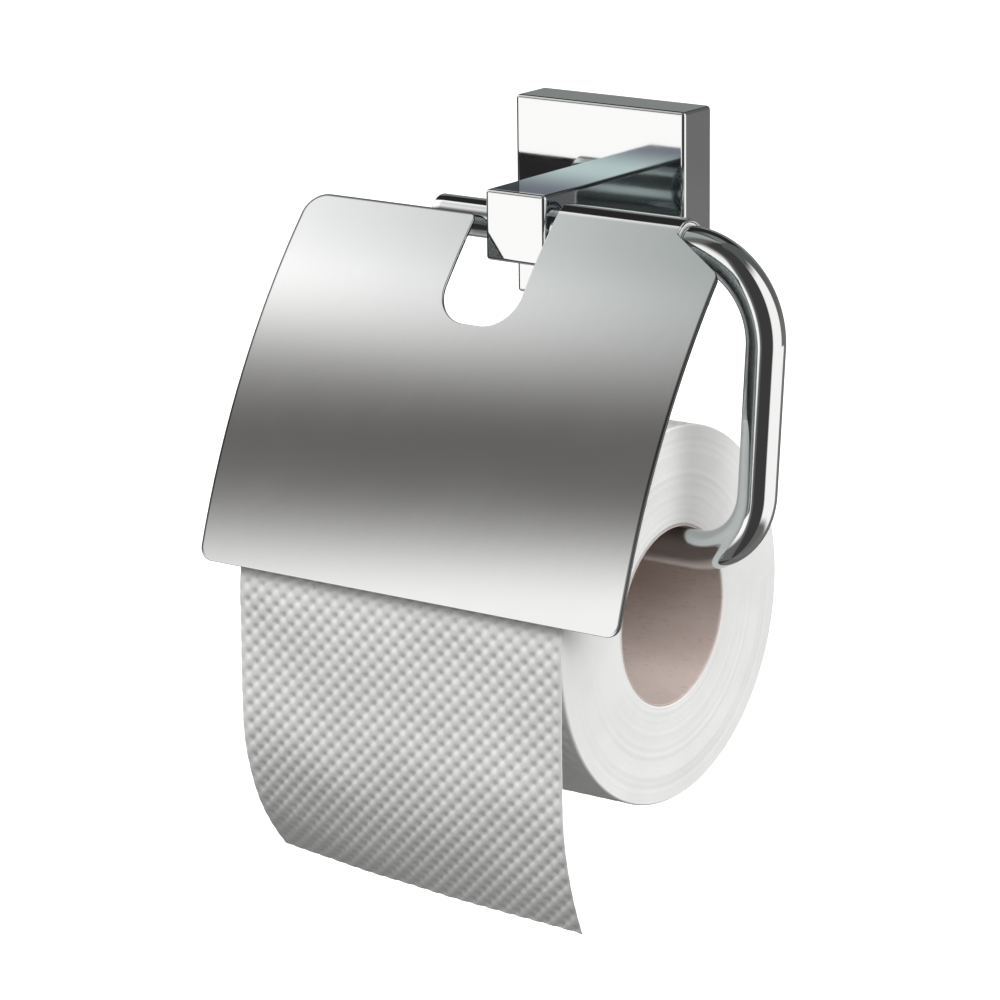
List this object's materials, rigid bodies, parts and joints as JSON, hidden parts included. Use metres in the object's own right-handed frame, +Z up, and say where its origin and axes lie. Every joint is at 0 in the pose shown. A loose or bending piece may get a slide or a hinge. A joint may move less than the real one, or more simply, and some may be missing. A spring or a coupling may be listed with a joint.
{
  "type": "toilet paper holder",
  "caption": "Wall-mounted toilet paper holder: square rosette and arm, a bent round rod that carries a paper roll, and a curved hinged lid with a notch for the arm.",
  "frame": {"origin": "on the wall surface, behind the centre of the square rosette", "axes": "+X along the wall to the right when facing it, +Y into the wall, +Z up"},
  "size_m": [0.1336, 0.0946, 0.182],
  "materials": {
    "zinc": "zinc plated",
    "chrome": "polished chrome plating",
    "steel": "plain steel",
    "plastic": "satin",
    "cardboard": "uncoated grey-brown board",
    "paper": "soft embossed tissue"
  },
  "bodies": {
    "holder": {"wall_bracket": "zinc", "rosette": "chrome", "arm": "chrome", "arm_washer": "steel", "arm_bolt": "steel", "grub_screws": "steel", "roll_bar": "chrome"},
    "lid": {"lid": "chrome", "hinge_sleeve": "plastic"},
    "paper_end": {"loose_sheet": "paper"},
    "roll": {"core": "cardboard", "paper_roll": "paper"}
  },
  "joints": [
    {"name": "lid_hinge", "type": "hinge", "parent": "holder", "child": "lid", "pos_m": [0.0286, -0.0411, 0], "axis": [-1, 0, 0], "range_deg": [0, 170]},
    {"name": "roll_slide", "type": "slide", "parent": "holder", "child": "paper_end", "axis": [-1, 0, 0], "range_m": [0, 0.11]},
    {"name": "roll_spin", "type": "hinge", "parent": "paper_end", "child": "roll", "pos_m": [-0.0025, -0.0467, -0.08937], "axis": [1, 0, 0], "continuous": true}
  ]
}
